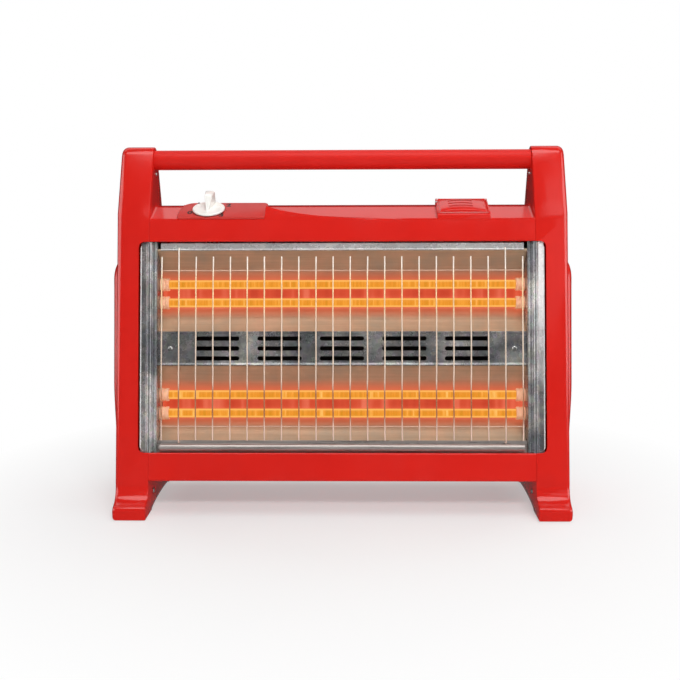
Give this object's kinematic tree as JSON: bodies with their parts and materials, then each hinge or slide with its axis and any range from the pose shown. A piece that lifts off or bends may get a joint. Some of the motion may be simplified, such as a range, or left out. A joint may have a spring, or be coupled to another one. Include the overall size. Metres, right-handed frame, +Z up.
{
  "type": "electric bar heater",
  "caption": "Free-standing electric bar heater: leaning red housing between footed side columns, glowing quartz tubes behind a wire guard, carrying handle, rotary switch and humidifier.",
  "frame": {"origin": "on the floor, under the middle of the heater's width and of its foot depth", "axes": "+Z up; the window with the tubes faces -Y; +X to the right as seen from the front"},
  "size_m": [0.558, 0.19, 0.4365],
  "materials": {
    "red_plastic": "gloss",
    "red_paint": "gloss enamel",
    "bezel_red": "satin",
    "cream_plastic": "gloss",
    "galvanised": "satin, spangled",
    "bright_steel": "bright",
    "reflector": "satin",
    "glowing_quartz": "frosted, glowing",
    "glowing_coil": "glowing",
    "white_ceramic": "matte",
    "zinc_steel": "satin",
    "brass": "satin",
    "black_rubber": "matte",
    "black_plastic": "matte",
    "natural_plastic": "matte",
    "tank_plastic": "satin",
    "white_sleeve": "matte",
    "brown_sleeve": "matte"
  },
  "bodies": {
    "housing": {"left_column": "red_plastic", "right_column": "red_plastic", "left_column_cover": "red_plastic", "right_column_cover": "red_plastic", "column_screws": "zinc_steel", "handle_tube": "red_paint", "foot_pads": "black_rubber", "top_cover": "red_plastic", "control_bezel": "bezel_red", "switch_body": "natural_plastic", "switch_nut": "zinc_steel", "upper_fascia": "red_paint", "lower_fascia": "red_paint", "rear_panel": "red_paint", "bottom_panel": "red_paint", "rear_screws": "zinc_steel", "left_cheek": "galvanised", "right_cheek": "galvanised", "top_strip": "galvanised", "bottom_rail": "bright_steel", "upper_reflector": "reflector", "lower_reflector": "reflector", "centre_panel": "galvanised", "panel_screws": "zinc_steel", "quartz_tube_1": "glowing_quartz", "quartz_tube_2": "glowing_quartz", "quartz_tube_3": "glowing_quartz", "quartz_tube_4": "glowing_quartz", "heating_coil_1": "glowing_coil", "heating_coil_2": "glowing_coil", "heating_coil_3": "glowing_coil", "heating_coil_4": "glowing_coil", "left_end_caps": "white_ceramic", "right_end_caps": "white_ceramic", "left_terminals": "zinc_steel", "right_terminals": "zinc_steel", "guard_uprights": "bright_steel", "guard_cross_wires": "bright_steel", "terminal_block": "natural_plastic", "thermal_cutout": "black_plastic", "switched_leads": "white_sleeve", "common_lead": "white_sleeve", "supply_leads": "brown_sleeve", "tip_frame": "zinc_steel", "tip_switch": "black_plastic", "cord_grommet": "black_rubber"},
    "knob": {"knob": "cream_plastic", "switch_spindle": "zinc_steel"},
    "tank": {"water_tank": "tank_plastic", "lid_hinge_pin": "zinc_steel"},
    "lid": {"humidifier_lid": "red_plastic"},
    "pendulum": {"tip_pendulum": "brass"}
  },
  "joints": [
    {"name": "knob_turn", "type": "hinge", "parent": "housing", "child": "knob", "pos_m": [-0.162, 0.0064, 0.35744], "axis": [0, -0.3746, 0.9272], "range_deg": [0, 270]},
    {"name": "tank_lift", "type": "slide", "parent": "housing", "child": "tank", "axis": [0, -0.3746, 0.9272], "range_m": [0, 0.06]},
    {"name": "lid_hinge", "type": "hinge", "parent": "tank", "child": "lid", "pos_m": [0.146, 0.02252, 0.37172], "axis": [-1, 0, 0], "range_deg": [0, 100]},
    {"name": "tip_swing", "type": "hinge", "parent": "housing", "child": "pendulum", "pos_m": [-0.12, 0.024, 0.0904], "axis": [1, 0, 0], "range_deg": [-20, 20]}
  ]
}
